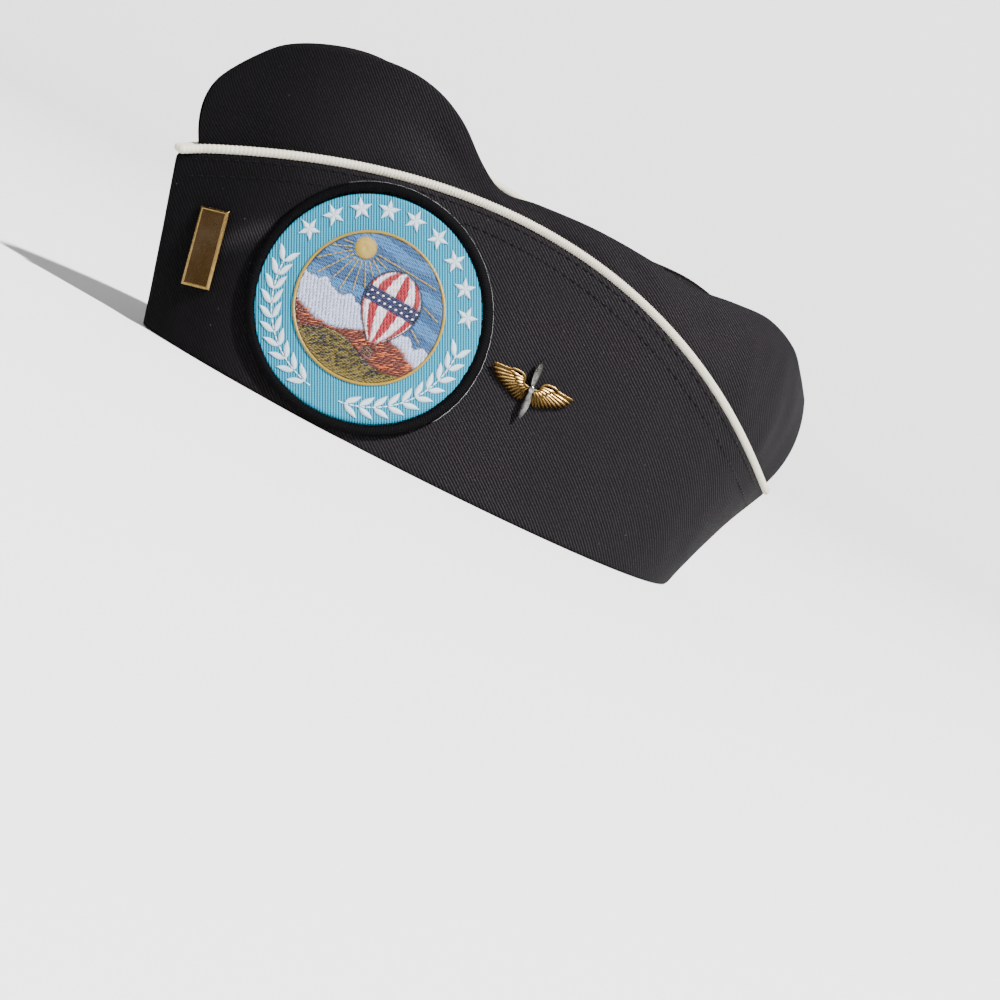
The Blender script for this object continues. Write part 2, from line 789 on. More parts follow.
def gusset_surface():
    edges = [creased(thinned(crown_surface(side), side, PANEL + GUSSET_GAP), side) for side in (LEFT, RIGHT)]

    def surface(at, across):
        place = GUSSET_FRONT + (GUSSET_REAR - GUSSET_FRONT) * at
        top = np.full(len(at), 1.0)
        left, right = edges[0](place, top), edges[1](place, top)
        away = np.abs(2 * across - 1)
        roundness = fold_value("half", place) / WIDEST
        sunk = roundness * (1 - away * away) + (1 - roundness) * (1 - away)
        point = left + (right - left) * across[:, None]
        point[:, 2] -= fold_value("valley", place) * sunk
        return point

    return surface


gusset = cloth_panel("gusset", gusset_surface(), LEFT, PANEL, *GUSSET_GRID)
finish_piece(gusset, top_twill, "cloth", "crown_gusset")

# %% [markdown]
# ## Piping
#
# The white edging is a soft knitted cord, off-white with age. Knitting shows as rows of small bumps that
# lean into each other, and those rows are modelled: the tube has nearly five rings of points for each row,
# and its radius rises and falls along it and round it. The finer yarn is left to the material.

# %% Braid material
braid, tree, feed, uv, place = new_material("white_braid", roughness=0.78, specular_ior_level=0.2)
yarn = use_group(tree, WEAVE, Vector=uv, Pitch=0.36 * MM, Angle=math.radians(62))
dust = use_group(tree, LINT, Vector=place, Scale=420.0, Amount=0.6)
shade = mix_color(tree, yarn["Ridge"], (0.32, 0.29, 0.22), (0.58, 0.55, 0.45))
shade = mix_color(tree, times(tree, dust["Patch"], 0.35), shade, (0.56, 0.52, 0.43))
feed("Base Color", mix_color(tree, dust["Mask"], shade, (0.2, 0.18, 0.15)))
feed("Normal", bump(tree, yarn["Height"], 0.16, 0.8))

# %% Piping
PIPING = {"length": 283.0, "steps": 1500, "sides": 16, "rounding": 700.0}
ROWS = {"pitch": 0.9, "depth": 0.38, "columns": 5}
GROOVE = {"from": 0.3, "over": 0.3, "depth": 0.22, "width": 0.35}


def piping_line(side, share):
    """The middle of the piping, just inside the curtain's top edge."""
    on = pushed_in(curtain_surface(side), side, lambda at, up: np.full(len(at), CURTAIN / 2))
    top, foot = on(share, np.ones(len(share))), on(share, np.zeros(len(share)))
    point = top + unit(foot - top) * CORD
    point[:, 1] = side * np.maximum(side * point[:, 1], CORD + 2 * CLEAR)
    return point


def knitted_radius(side, share, angle):
    """The piping's radius with its knitted rows, its rounded ends and the groove on its outer side."""
    lean = np.abs((ROWS["columns"] * angle / math.pi) % 2 - 1)
    row = share * PIPING["length"] / ROWS["pitch"] + 0.5 * lean
    knit = ROWS["depth"] * (np.abs(np.sin(math.pi * row)) - 1)
    outer = 0.0 if side == LEFT else math.pi
    away = np.abs((angle - outer + math.pi) % (2 * math.pi) - math.pi)
    sunk = np.clip((share - GROOVE["from"]) / GROOVE["over"], 0, 1) * GROOVE["depth"]
    sunk *= np.exp(-(away / GROOVE["width"]) ** 2)
    round_end = np.sqrt(np.clip(np.minimum(share, 1 - share) * PIPING["rounding"] / CORD, 0.0001, 1))
    return (CORD + knit - sunk) * round_end


def piping_point(side, u, v):
    rows, which = np.unique(u, return_inverse=True)
    middle = piping_line(side, rows)
    ahead = unit(np.gradient(middle, axis=0))
    sideways = unit(np.cross(ahead, (0, 0, 1)))
    upward = np.cross(sideways, ahead)
    angle = 2 * math.pi * v
    out = sideways[which] * np.cos(angle)[:, None] + upward[which] * np.sin(angle)[:, None]
    return middle[which] + out * knitted_radius(side, u, angle)[:, None]


for side, word, _ in HALVES:
    piping = shaped_grid(
        f"{word}_piping", PIPING["steps"], PIPING["sides"],
        lambda u, v: piping_point(side, u, v),
        lambda u, v: np.stack([u * PIPING["length"], v * 2 * math.pi * CORD], axis=1))
    face_out(piping)
    finish_piece(piping, braid, "braid", f"piping_{word}")

# %% [markdown]
# ## Threads as real strands
#
# A stitch is a short, fat strand whose two ends dive into the cloth. One such strand is a small closed mesh
# of five rings. All the stitches of one colour group are written into one mesh from arrays, because an
# object for each would be thousands of objects. Each stitch keeps its own colour and its own UV map, whose
# U runs along it, so the thread's twist follows it.

# %% Strand helper
AROUND = 6
RINGS = np.array([0.0, 0.12, 0.5, 0.88, 1.0])
RING_SIZE = np.array([0.3, 0.8, 1.0, 0.8, 0.3])
RING_SINK = np.array([-0.55, -0.08, 0.0, -0.08, -0.55])


def strand_faces():
    """The corners of one strand's faces, and how many corners each has: sides first and then both ends."""
    ring, turn = np.meshgrid(np.arange(len(RINGS) - 1), np.arange(AROUND), indexing="ij")
    here, after = ring * AROUND + turn, ring * AROUND + (turn + 1) % AROUND
    sides = np.stack([here, after, after + AROUND, here + AROUND], axis=-1)
    first, last = np.arange(AROUND)[::-1], (len(RINGS) - 1) * AROUND + np.arange(AROUND)
    return np.concatenate([sides.ravel(), first, last]), [4] * (sides.size // 4) + [AROUND] * 2


def strand_mesh(name, heads, tails, normals, widths, height, colours=None):
    """Joined strands from heads to tails, in millimetres, each with its own width and colour."""
    count, each = len(heads), len(RINGS) * AROUND
    angle = 2 * math.pi * (np.arange(AROUND) + 0.5) / AROUND
    ahead = unit(tails - heads)
    sideways = unit(np.cross(normals, ahead))
    lift = unit(np.cross(ahead, sideways))
    middle = heads[:, None] + (tails - heads)[:, None] * RINGS[None, :, None]
    middle = middle + lift[:, None] * (height * RING_SINK)[None, :, None]
    half = (widths[:, None] / 2 * RING_SIZE)[:, :, None] * np.cos(angle)
    tall = (height / 2 * RING_SIZE)[None, :, None] * np.sin(angle)
    around = sideways[:, None, None] * half[..., None] + lift[:, None, None] * tall[..., None]
    points = middle[:, :, None] + around
    one, sizes = strand_faces()
    corners = (one + (np.arange(count) * each)[:, None]).ravel().astype(np.int32)
    sizes = np.tile(sizes, count)

    mesh = bpy.data.meshes.new(name)
    mesh.vertices.add(count * each)
    mesh.vertices.foreach_set("co", (points * MM).ravel())
    mesh.loops.add(corners.size)
    mesh.loops.foreach_set("vertex_index", corners)
    mesh.polygons.add(len(sizes))
    mesh.polygons.foreach_set("loop_start", (np.cumsum(sizes) - sizes).astype(np.int32))
    mesh.update(calc_edges=True)
    lengths = np.linalg.norm(tails - heads, axis=1)
    along = (RINGS * lengths[:, None])[:, :, None].repeat(AROUND, axis=2)
    about = np.broadcast_to(np.arange(AROUND) / AROUND, along.shape)
    uv = np.stack([along * MM, about], axis=-1).reshape(-1, 2)
    mesh.uv_layers.new(name="UVMap").data.foreach_set("uv", uv[corners].ravel())
    if colours is not None:
        paint(mesh, colours.repeat(each, axis=0))
    piece = bpy.data.objects.new(name, mesh)
    link(piece)
    smooth(piece)
    return piece


def paint(mesh, colours):
    """Stores one thread colour for each vertex."""
    layer = mesh.color_attributes.new("thread", "FLOAT_COLOR", "POINT")
    layer.data.foreach_set("color", np.column_stack([colours, np.ones(len(colours))]).ravel())


# %% [markdown]
# ## Thread material
#
# All sewing thread here is shiny rayon or polyester. Its plies are a fine bump along the strand, its
# gloss is strong and soft, and its colour comes either from one value or from the stitch's own attribute.

# %% Thread materials
def thread_material(name, colour=None, shade=0.45, roughness=0.42, specular=0.4):
    material, tree, feed, uv, place = new_material(name, roughness=roughness, specular_ior_level=specular)
    plies = use_group(tree, TWIST, Vector=uv, Pitch=0.3 * MM)["Height"]
    base = colour or add_node(tree, "ShaderNodeAttribute", attribute_name="thread").outputs["Color"]
    depth = times(tree, math_node(tree, "SUBTRACT", 1.0, plies), shade)
    depth = math_node(tree, "ADD", depth, times(tree, noise(tree, place, 900.0, 2.0), 0.2))
    darker = mix_color(tree, 1.0, base, (0.35, 0.35, 0.38), "MULTIPLY")
    feed("Base Color", mix_color(tree, depth, base, darker))
    feed("Normal", bump(tree, plies, 0.06, 0.6))
    return material


black_thread = thread_material("black_thread", (0.0012, 0.0011, 0.0015), roughness=0.6, specular=0.06)
border_thread = thread_material("border_thread", (0.0009, 0.0008, 0.0011), roughness=0.6, specular=0.025)
gold_thread = thread_material("gold_thread", (0.2, 0.125, 0.009), roughness=0.4)
white_thread = thread_material("white_thread", (0.45, 0.53, 0.6), shade=0.55)
picture_thread = thread_material("picture_thread")
clear_thread = thread_material("clear_thread", (0.1, 0.1, 0.11), roughness=0.25)

# %% [markdown]
# ## Top stitching
#
# Two rows of black lockstitch hold the curtain's turned edge. They run along below the piping on both
# halves. They show only as rows of small dashes, but without them the edge wouldn't look sewn, so each dash
# is a strand 2.6 mm long with half a millimetre between them.

# %% Top stitching
STITCH = {"length": 2.6, "gap": 0.55, "width": 0.5, "height": 0.42, "lift": 0.04, "rows": (4.9, 10.3)}
STITCHED = np.linspace(0.012, 0.988, 3000)


def points_along(places, marks, points):
    """Points of a line whose own points lie at the marks."""
    return np.stack([np.interp(places, marks, column) for column in points.T], axis=1)


def stitch_row(side, below):
    """Heads, tails and normals of one row on the curtain, "below" its top edge."""
    surface = curtain_surface(side)
    tops, feet = surface(STITCHED, np.ones(len(STITCHED))), surface(STITCHED, np.zeros(len(STITCHED)))
    heights = 1 - below / np.linalg.norm(tops - feet, axis=1)
    row = surface(STITCHED, heights)
    walked = np.concatenate([[0], np.cumsum(np.linalg.norm(np.diff(row, axis=0), axis=1))])
    starts = np.arange(0, walked[-1] - STITCH["length"], STITCH["length"] + STITCH["gap"])
    ends = starts + STITCH["length"]
    share = np.interp((starts + ends) / 2, walked, STITCHED)
    outward = outward_of(surface, side, share, np.interp(share, STITCHED, heights))
    lift = outward * STITCH["lift"]
    heads, tails = (points_along(places, walked, row) + lift for places in (starts, ends))
    return heads, tails, outward


for side, word, _ in HALVES:
    rows = [stitch_row(side, below) for below in STITCH["rows"]]
    heads, tails, normals = (np.concatenate(column) for column in zip(*rows))
    widths = np.full(len(heads), STITCH["width"])
    stitches = strand_mesh(f"{word}_top_stitching", heads, tails, normals, widths, STITCH["height"])
    finish_piece(stitches, black_thread, "border_thread")

# %% [markdown]
# ## Places on the curtain
#
# The badges sit on a curved, leaning cloth. A seat is a flat frame that touches the cloth at one point, and
# draping finds the point of the cloth that lies behind any point of that frame. The patch is soft, so every
# point of it is draped. The metal badges are stiff, so they only take their seat's frame.

# %% Seats
STRETCH = {"times": 1.055, "lean": 28.0}


class Seat:
    """A frame on the left curtain: a runs to the rear, b runs up, and lift is off the cloth."""
    def __init__(self, at, up, tilt=0.0):
        self.start = (at, up)
        self.surface = curtain_surface(LEFT)
        one_at, one_up = np.array([at]), np.array([up])
        self.origin = self.surface(one_at, one_up)[0]
        self.normal = outward_of(self.surface, LEFT, one_at, one_up)[0]
        along = np.cross((0, 0, 1), self.normal)
        along /= np.linalg.norm(along)
        upward = np.cross(self.normal, along)
        turn = math.radians(tilt)
        self.along = along * math.cos(turn) + upward * math.sin(turn)
        self.upward = upward * math.cos(turn) - along * math.sin(turn)

    def drape(self, a, b):
        """The points of the cloth behind (a, b), and its normals there."""
        at, up = np.full(len(a), self.start[0]), np.full(len(a), self.start[1])

        def offset(at, up):
            away = self.surface(at, up) - self.origin
            return away @ self.along, away @ self.upward

        for _ in range(6):
            x, y = offset(at, up)
            xa, ya = (new - old for new, old in zip(offset(at + STEP, up), (x, y)))
            xu, yu = (new - old for new, old in zip(offset(at, up + STEP), (x, y)))
            area = (xa * yu - xu * ya) / STEP
            at = at + ((a - x) * yu - (b - y) * xu) / area
            up = up + ((b - y) * xa - (a - x) * ya) / area
        return self.surface(at, up), outward_of(self.surface, LEFT, at, up)

    def lifted(self, a, b, lift):
        point, normal = self.drape(*self.stretched(a, b))
        return point + normal * np.asarray(lift).reshape(-1, 1)

    def lifted_round(self, about, reach, lift):
        return self.lifted(reach * np.cos(about), reach * np.sin(about), lift)

    def stretched(self, a, b):
        """What is sewn on is stretched a little, "times" as long in the direction "lean" in front of up."""
        lean = math.radians(STRETCH["lean"])
        more = (STRETCH["times"] - 1) * (b * math.cos(lean) - a * math.sin(lean))
        return a - more * math.sin(lean), b + more * math.cos(lean)

    def frame(self, lift):
        """A matrix in metres whose X runs along, Y up and Z out of the cloth."""
        place = (self.origin + self.normal * lift) * MM
        columns = (*self.along, 0), (*self.upward, 0), (*self.normal, 0), (*place, 1)
        return Matrix(columns).transposed()


def directions(degrees):
    """The flat direction at an angle, and the one a quarter turn on from it."""
    turn = math.radians(degrees)
    way = np.array([math.cos(turn), math.sin(turn)])
    return way, np.array([-way[1], way[0]])


def rotated(vectors, degrees):
    way, across = directions(degrees)
    return vectors[..., :1] * way + vectors[..., 1:] * across


patch_seat = Seat(0.231, 0.4584)
bar_seat = Seat(0.05, 0.479, 14)
badge_seat = Seat(0.4325, 0.473, 1)
print("patch middle", np.round(patch_seat.origin, 1))

# %% [markdown]
# ## The patch's ground
#
# The patch is cut from a bright aqua twill with bold ribs that lean to the front. The ribs are wide enough
# to see one by one, so they are real: the disc's columns run along the ribs, seven to a rib, and each rib is
# a low arch. The grid runs over the top and back underneath, which closes the disc.

# %% Aqua twill material
aqua, tree, feed, uv, place = new_material("aqua_twill", roughness=0.6, specular_ior_level=0.12)
fine = add_node(tree, "ShaderNodeTexWave", {"Vector": uv, "Scale": 620.0, "Distortion": 1.5, "Detail": 1.0},
                bands_direction="Y").outputs["Fac"]
crest = math_node(tree, "POWER", own_value(tree, "rib"), 2.4)
tone = mix_color(tree, crest, (0.0006, 0.02, 0.042), (0.012, 0.2, 0.29))
tone = mix_color(tree, times(tree, noise(tree, place, 60.0, 4.0), 0.3), tone, (0.004, 0.09, 0.17))
feed("Base Color", mix_color(tree, times(tree, fine, 0.1), tone, (0.03, 0.3, 0.4)))
feed("Normal", bump(tree, fine, 0.08, 0.6))

# %% Patch ground
GROUND = {"radius": 35.6, "base": 0.3, "top": 1.25, "lean": 28.0, "edge": 0.5, "turn": 0.9, "rows": 70}
RIB = {"pitch": 0.82, "height": 0.22, "columns": 7}


def there_and_back(v, turn):
    """A share that rises to 1 at the turn, and then falls back to 0."""
    return np.where(v <= turn, v / turn, (1 - v) / (1 - turn))


def rib_height(across):
    return np.abs(np.cos(math.pi * across / RIB["pitch"])) ** 0.8


def ground_plane(u, v):
    """Across and along the ribs. v runs over the top, and then back underneath."""
    across = (2 * u - 1) * GROUND["radius"]
    reach = np.sqrt(np.maximum(GROUND["radius"] ** 2 - across**2, 0))
    return np.stack([across, (2 * there_and_back(v, GROUND["turn"]) - 1) * reach], axis=1)


def ground_point(u, v):
    flat = ground_plane(u, v)
    rim = np.clip((GROUND["radius"] - np.hypot(*flat.T)) / GROUND["edge"], 0, 1)
    rise = GROUND["top"] - GROUND["base"] + RIB["height"] * rib_height(flat[:, 0])
    lift = GROUND["base"] + np.where(v <= GROUND["turn"], rise * np.sqrt(rim), 0)
    return patch_seat.lifted(*rotated(flat, GROUND["lean"]).T, lift)


columns = int(2 * GROUND["radius"] / RIB["pitch"] * RIB["columns"])
ground = shaped_grid("patch_ground_twill", columns, GROUND["rows"], ground_point, ground_plane)
across = np.tile(2 * np.arange(columns + 1) / columns - 1, GROUND["rows"] + 1) * GROUND["radius"]
give_value(ground, "rib", rib_height(across))
face_out(ground)
finish_piece(ground, aqua, "aqua_twill", "patch_ground")

# %% [markdown]
# ## Wrapped edges
#
# The patch's border and its gold ring are both thread wrapped over and over a core. Each is a ring whose
# section is an oval, and the stitches are ridges that cross it at a slant. The border's inner edge has
# small teeth where single stitches reach further in.

# %% Wrapped ring helper
def wrapped_ring(name, radius, half, height, base, stitches, slant, depth, teeth, grid):
    """A closed ring of wrapped thread on the patch. half is its half width and depth its ridges' height."""
    wobble = np.random.default_rng(stitches).uniform(-1, 1, stitches)

    def place(u, v):
        round_it = 2 * math.pi * v
        turn = u * stitches + slant * np.cos(round_it)
        groove = depth * (1 - np.abs(np.sin(math.pi * turn)) ** 0.7)
        own = wobble[np.floor(turn).astype(int) % stitches]
        inner = np.clip(-np.cos(round_it), 0, 1) ** 6
        reach = radius + (half - groove + teeth * own * inner) * np.cos(round_it)
        lift = base + height / 2 + (height / 2 - groove) * np.sin(round_it)
        return patch_seat.lifted_round(2 * math.pi * u, reach, lift)

    piece = shaped_grid(name, *grid, place, lambda u, v: np.stack(
        [v * 2 * (half + height), u * stitches * WRAP_LENGTH], axis=1))
    face_out(piece)
    return piece


# %% Border and gold ring
WRAP_LENGTH = 350.0

border = wrapped_ring("patch_border_wrap", radius=36.95, half=1.7, height=2.2, base=0.2, stitches=290,
                      slant=0.6, depth=0.18, teeth=0.3, grid=(1740, 18))
finish_piece(border, border_thread, "border_thread", "patch_border")

ring = wrapped_ring("patch_gold_ring", radius=23.2, half=0.5, height=0.85, base=1.2, stitches=300,
                    slant=0.9, depth=0.1, teeth=0.08, grid=(1800, 10))
finish_piece(ring, gold_thread, "gold_thread", "patch_ring")

# %% [markdown]
# The thread that sews the patch down is nearly clear. It lies against the border's outer edge and gleams
# along the upper rear half, where it isn't buried in the nap. It is a plain thin cord.

# %% Sewing thread
SEWN = {"radius": 38.75, "thick": 0.11, "from": -32.0, "to": 128.0, "lift": 0.75}


def sewn_point(u, v):
    about = np.radians(SEWN["from"] + (SEWN["to"] - SEWN["from"]) * u)
    thin = SEWN["thick"] * np.sqrt(np.clip(np.minimum(u, 1 - u) * 60, 0.001, 1))
    reach = SEWN["radius"] + 0.05 * np.sin(60 * about) + thin * np.cos(2 * math.pi * v)
    lift = SEWN["lift"] + 0.12 * np.sin(23 * about) + thin * np.sin(2 * math.pi * v)
    return patch_seat.lifted_round(about, reach, lift)


sewn = shaped_grid("patch_sewing_thread", 400, 6, sewn_point,
                   lambda u, v: np.stack([u * 110.0, v * 1000.0], axis=1))
face_out(sewn)
finish_piece(sewn, clear_thread, "border_thread")

# %% [markdown]
# ## White satin stars and leaves
#
# A ring of raised white satin stitching fills the aqua ground: nine stars over the top, and a laurel branch
# up each side from the bottom. Satin stitch is a row of close strands laid straight across a shape, so each
# star arm and each leaf is a spine with a half width at every place along it.

# %% Satin helper
class Stitches:
    """Strands gathered in a seat's plane, in millimetres, until they become one mesh."""
    def __init__(self):
        self.heads, self.tails, self.widths, self.lifts, self.colours = [], [], [], [], []

    def add(self, heads, tails, width, lift, colour=(1, 1, 1)):
        heads, tails = np.atleast_2d(heads), np.atleast_2d(tails)
        keep = np.linalg.norm(tails - heads, axis=1) > 0.2
        count = int(keep.sum())
        self.heads.append(heads[keep])
        self.tails.append(tails[keep])
        self.widths.append(np.full(count, width))
        self.lifts.append(np.full(count, lift))
        self.colours.append(np.broadcast_to(np.asarray(colour, dtype=float), (len(keep), 3))[keep])

    def satin(self, spine, halves, width, lift, slant=0.0, colour=(1, 1, 1)):
        """Strands across a spine, from edge to edge of a shape with a half width at each place."""
        across = rotated(unit(np.gradient(spine, axis=0)), 90 + slant) * halves[:, None]
        self.add(spine - across, spine + across, width, lift, colour)

    def line(self, start, end, stitch, width, lift, colour=(1, 1, 1)):
        """A straight row of stitches, end to end."""
        start, end = np.asarray(start, dtype=float), np.asarray(end, dtype=float)
        count = max(1, round(np.linalg.norm(end - start) / stitch))
        marks = start + (end - start) * np.linspace(0, 1, count + 1)[:, None]
        self.add(marks[:-1], marks[1:], width, lift, colour)

    def mesh(self, name, seat, height, painted=False):
        heads, tails = np.concatenate(self.heads), np.concatenate(self.tails)
        lifts, widths = np.concatenate(self.lifts), np.concatenate(self.widths)
        normals = seat.drape(*seat.stretched(*((heads + tails) / 2).T))[1]
        middles = seat.lifted(*((heads + tails) / 2).T, lifts)
        starts, ends = seat.lifted(*heads.T, lifts), seat.lifted(*tails.T, lifts)
        shift = middles - (starts + ends) / 2
        colours = np.concatenate(self.colours) if painted else None
        return strand_mesh(name, starts + shift, ends + shift, normals, widths, height, colours)


# %% Stars and laurel
STARS = {"count": 9, "radius": 30.3, "spread": 66.0, "size": 3.35, "half": 0.837, "least": 0.12,
         "waist": 0.382 * 3.35}
LAUREL = {"radius": 30.0, "from": 9.0, "to": 92.0, "leaves": 10, "first": 13.0, "last": 90.0, "foot": 0.4,
          "length": 5.2, "half": 1.05, "least": 0.08, "lean": 36.0}
SATIN = {"star": 0.4, "leaf": 0.42, "stem": 0.5, "lift": 1.62, "height": 0.55}


def on_ring(radius, degrees):
    """A point of the patch at a clock angle from its top, and the direction of growing angle."""
    turn = math.radians(degrees)
    out, onward = (math.sin(turn), math.cos(turn)), (math.cos(turn), -math.sin(turn))
    return radius * np.array(out), np.array(onward)


white = Stitches()
reach = np.linspace(0.25, STARS["size"], 11)
rising, falling = reach / STARS["waist"], (STARS["size"] - reach) / (STARS["size"] - STARS["waist"])
arm_halves = STARS["half"] * np.where(reach < STARS["waist"], rising, falling) + STARS["least"]
for degrees in np.linspace(-STARS["spread"], STARS["spread"], STARS["count"]):
    middle, _ = on_ring(STARS["radius"], degrees)
    for arm in range(5):
        way, _ = on_ring(1, degrees + 72 * arm)
        white.satin(middle + way * reach[:, None], arm_halves, SATIN["star"], SATIN["lift"])

share = np.linspace(0.04, 0.98, 15)
leaf_halves = LAUREL["half"] * np.sin(math.pi * share**0.85) + LAUREL["least"]
for side in (-1, 1):
    marks = np.linspace(LAUREL["from"], LAUREL["to"], 26)
    stem = [on_ring(LAUREL["radius"], 180 - side * degrees)[0] for degrees in marks]
    for start, end in zip(stem[:-1], stem[1:]):
        white.line(start, end, 2.0, SATIN["stem"], SATIN["lift"] - 0.12)
    for degrees in np.linspace(LAUREL["first"], LAUREL["last"], LAUREL["leaves"]):
        foot, growing = on_ring(LAUREL["radius"], 180 - side * degrees)
        for edge in (-1, 1):
            way = rotated(-side * growing, edge * LAUREL["lean"])
            spine = foot + way * (LAUREL["foot"] + LAUREL["length"] * share)[:, None]
            white.satin(spine, leaf_halves, SATIN["leaf"], SATIN["lift"] - 0.02, 28 * edge)

motifs = white.mesh("patch_white_satin", patch_seat, SATIN["height"])
finish_piece(motifs, white_thread, "picture_thread")

# %% [markdown]
# ## The picture
#
# Inside the gold ring is a small picture in filling stitch: a hot-air balloon over rust and olive hills,
# with a bank of cloud and a rayed sun. Filling stitch lies in rows of equal strands, and each row starts a
# little later than the last. Each region of the picture has its own direction, so the light shows where one
# ends. A thin backing disc lies under the strands.

# %% Regions of the picture
BALLOON = {"x": 5.5, "y": 4.0, "wide": 9.0, "tall": 10.5, "throat": -8.8, "gores": 8}
BAND = {"middle": 4.2, "half": 2.1}
BASKET_BOX = {"half": 1.7, "top": -10.8, "bottom": -13.4}
SUN = np.array((-9.5, 15.5))

SKY, PALE_SKY, CLOUD, RUST, OLIVE, RED, CREAM, NAVY, BASKET = range(9)
THREADS = {
    SKY: (0.012, 0.06, 0.16), PALE_SKY: (0.03, 0.12, 0.27), CLOUD: (0.36, 0.39, 0.53),
    RUST: (0.085, 0.009, 0.002), OLIVE: (0.1, 0.07, 0.006), RED: (0.24, 0.001, 0.008),
    CREAM: (0.55, 0.51, 0.56), NAVY: (0.004, 0.006, 0.045), BASKET: (0.05, 0.016, 0.004),
}
WAYS = {SKY: -18, PALE_SKY: -18, CLOUD: 84, RUST: 35, OLIVE: 8, RED: 90, CREAM: 90, NAVY: 0, BASKET: 0}
INNER = 22.7


def balloon_half(b):
    """Half the balloon's width at a height: round on top, and drawn in to its throat."""
    up = np.clip((b - BALLOON["y"]) / BALLOON["tall"], 0, 1)
    down = np.clip((BALLOON["y"] - b) / (BALLOON["y"] - BALLOON["throat"]), 0, 1)
    half = BALLOON["wide"] * np.sqrt(1 - up**2) * (1 - 0.8 * down**1.8)
    return np.where((b < BALLOON["throat"]) | (b > BALLOON["y"] + BALLOON["tall"]), 0, half)


def region_of(a, b):
    """Which region of the picture lies at (a, b)."""
    region = np.where(np.sin(0.75 * b + 0.5 * np.sin(0.35 * a)) > 0.2, PALE_SKY, SKY)
    puff = -3.2 + 2.3 * np.abs(np.sin(0.33 * a + 0.4)) + 1.2 * np.abs(np.sin(0.71 * a)) - 0.12 * a
    region = np.where(b < puff, CLOUD, region)
    region = np.where(b < -8.2 + 2.6 * np.sin(0.17 * a + 0.2), RUST, region)
    region = np.where(b < -13.6 + 2.2 * np.sin(0.2 * a + 2.6), OLIVE, region)
    half = balloon_half(b)
    share = np.clip((a - BALLOON["x"]) / np.maximum(half, 0.01), -1, 1)
    gore = np.floor((np.arcsin(share) / math.pi + 0.5) * BALLOON["gores"]).astype(int)
    inside = np.abs(a - BALLOON["x"]) < half
    region = np.where(inside, np.where(gore % 2 == 0, RED, CREAM), region)
    region = np.where(inside & (np.abs(b - BAND["middle"]) < BAND["half"]), NAVY, region)
    beside = np.abs(a - BALLOON["x"]) < BASKET_BOX["half"]
    return np.where(beside & (b < BASKET_BOX["top"]) & (b > BASKET_BOX["bottom"]), BASKET, region)


# %% Filling stitch
FILL = {"stitch": 2.3, "pitch": 0.46, "width": 0.5, "lift": 1.78, "stagger": 0.37, "uneven": 0.25}


def fill_region(stitches, region):
    """Rows of strands over one region, each cut back to where the region ends."""
    way, across = directions(WAYS[region])
    rows = np.arange(-INNER, INNER, FILL["pitch"])
    cells = np.arange(-INNER - FILL["stitch"], INNER + FILL["stitch"], FILL["stitch"])
    row, cell = (grid.ravel() for grid in np.meshgrid(rows, cells))
    shift = (np.round(row / FILL["pitch"]) * FILL["stagger"] % 1) * FILL["stitch"]
    shift += chance.uniform(-FILL["uneven"], FILL["uneven"], len(row))
    middle = row[:, None] * across + (cell + shift)[:, None] * way

    def inside(points):
        return (region_of(*points.T) == region) & (np.hypot(*points.T) < INNER)

    middle = middle[inside(middle)]
    ends = []
    for sign in (-1, 1):
        reach, open_way = np.zeros((len(middle), 1)), np.ones(len(middle), dtype=bool)
        for step in np.linspace(0.15, FILL["stitch"] / 2, 7):
            open_way &= inside(middle + sign * step * way)
            reach[open_way] = step
        ends.append(middle + sign * reach * way)
    tint = THREADS[region] * chance.uniform(0.86, 1.12, (len(middle), 1))
    stitches.add(*ends, FILL["width"], FILL["lift"], tint)


picture = Stitches()
for region in THREADS:
    fill_region(picture, region)

# %% Rays, outlines and dots
GOLD, INK = (0.23, 0.15, 0.012), (0.003, 0.003, 0.006)
# Each has its width, its lift off the cloth and its colour.
RAY, DISC_RAY, DOT = (0.5, 2.02, GOLD), (0.55, 1.98, GOLD), (0.6, 2.02, (0.7, 0.69, 0.72))
OUTLINE, ROPE = (0.42, 2.05, INK), (0.3, 2.05, INK)
TUFT, FLECK = (0.3, 2.04, INK), (0.34, 2.0, (0.42, 0.09, 0.02))
RAYS = {"from": -172, "to": 8, "every": 15.5, "start": 4.2, "end": 34, "stitch": 1.6}
DISC = {"radius": 3.7, "start": 1.2, "every": 7.5}
DOTS = {"columns": 9, "rises": (-1.0, 0.9), "shift": 0.5, "margin": 0.6}


for degrees in np.arange(RAYS["from"], RAYS["to"], RAYS["every"]):
    way, _ = directions(degrees)
    spots = SUN + way * np.arange(RAYS["start"], RAYS["end"], RAYS["stitch"])[:, None]
    open_sky = (np.hypot(*spots.T) < INNER - 0.4) & np.isin(region_of(*spots.T), (SKY, PALE_SKY))
    for index in np.flatnonzero(open_sky[:-1] & open_sky[1:]):
        picture.line(spots[index], spots[index + 1], RAYS["stitch"], *RAY)

for degrees in np.arange(0, 360, DISC["every"]):
    way, _ = directions(degrees)
    tip = SUN + way * DISC["radius"]
    if math.hypot(*tip) < INNER - 0.2:
        picture.line(SUN - way * DISC["start"], tip, 5.0, *DISC_RAY)

heights = np.linspace(BALLOON["throat"], BALLOON["y"] + BALLOON["tall"] - 0.02, 30)
for sign in (-1, 1):
    edge = np.stack([BALLOON["x"] + sign * balloon_half(heights), heights], axis=1)
    for first, second in zip(edge[:-1], edge[1:]):
        picture.line(first, second, 1.6, *OUTLINE)
    corner = (BALLOON["x"] + sign * (BASKET_BOX["half"] - 0.1), BASKET_BOX["top"])
    picture.line(edge[0], corner, 2.0, *ROPE)

